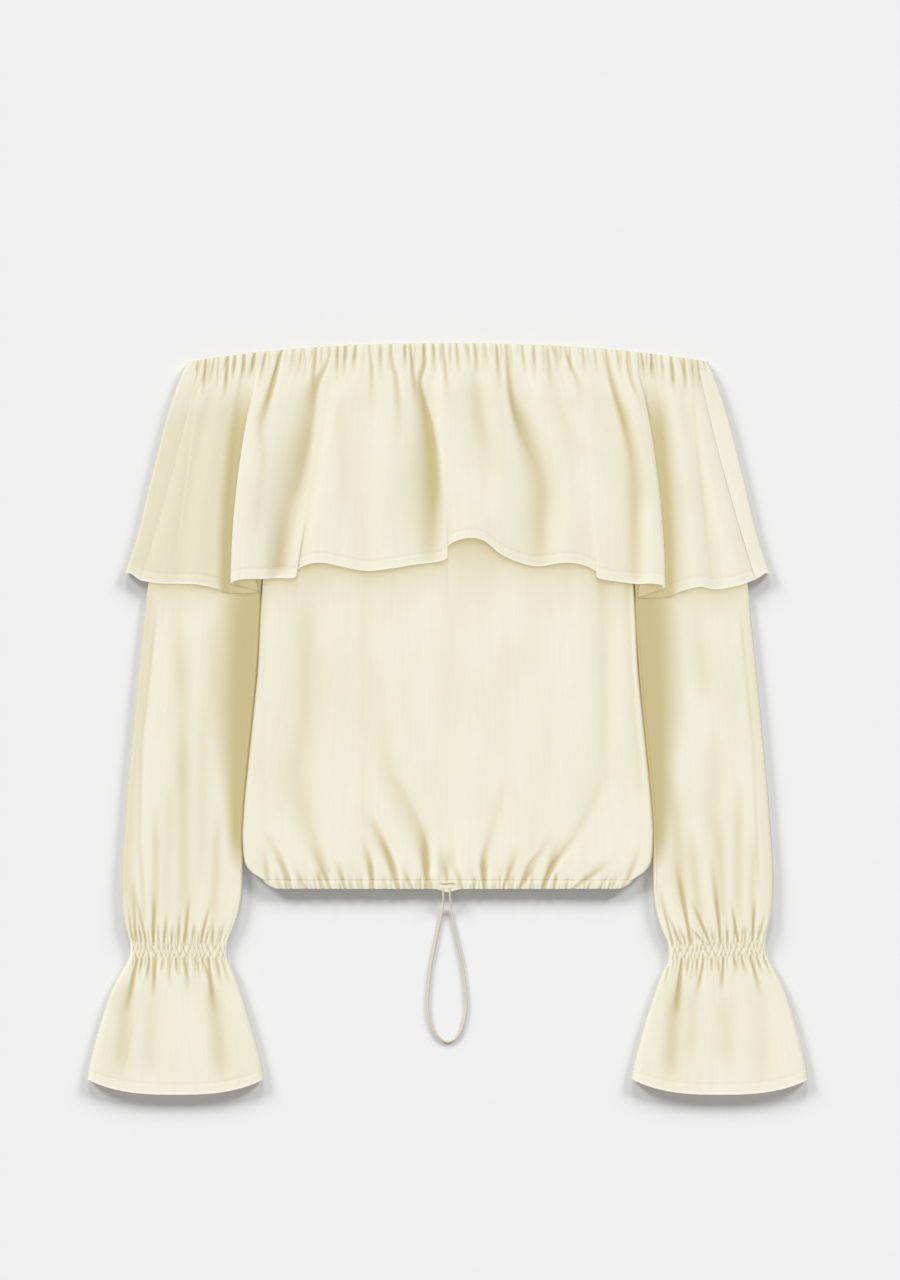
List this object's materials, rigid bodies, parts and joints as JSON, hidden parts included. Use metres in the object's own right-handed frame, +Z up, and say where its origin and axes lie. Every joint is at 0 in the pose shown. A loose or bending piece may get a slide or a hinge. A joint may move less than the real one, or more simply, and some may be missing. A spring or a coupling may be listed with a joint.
{
  "type": "long-sleeve top",
  "caption": "Cream off-shoulder top laid flat, with a deep gathered flounce, long sleeves with frilled cuffs, and a drawcord hem.",
  "frame": {"origin": "middle of the garment's outline, on the surface that it lies on", "axes": "+X across the top to the wearer's left, +Y from the hem to the neckline, +Z up out of the garment's front"},
  "size_m": [0.6488, 0.6759, 0.0135],
  "materials": {
    "cloth": "matte crepe",
    "stitching": "close satin stitch",
    "cord": "smooth braid"
  },
  "bodies": {
    "root": {"neck_channel": "cloth", "flounce_front": "cloth", "flounce_back": "cloth", "body_front": "cloth", "body_back": "cloth", "hem_channel": "cloth", "sleeve_right": "cloth", "sleeve_left": "cloth", "wrist_right": "cloth", "wrist_left": "cloth", "cuff_right": "cloth", "cuff_left": "cloth", "cord_hole": "stitching", "drawcord": "cord"}
  },
  "joints": []
}
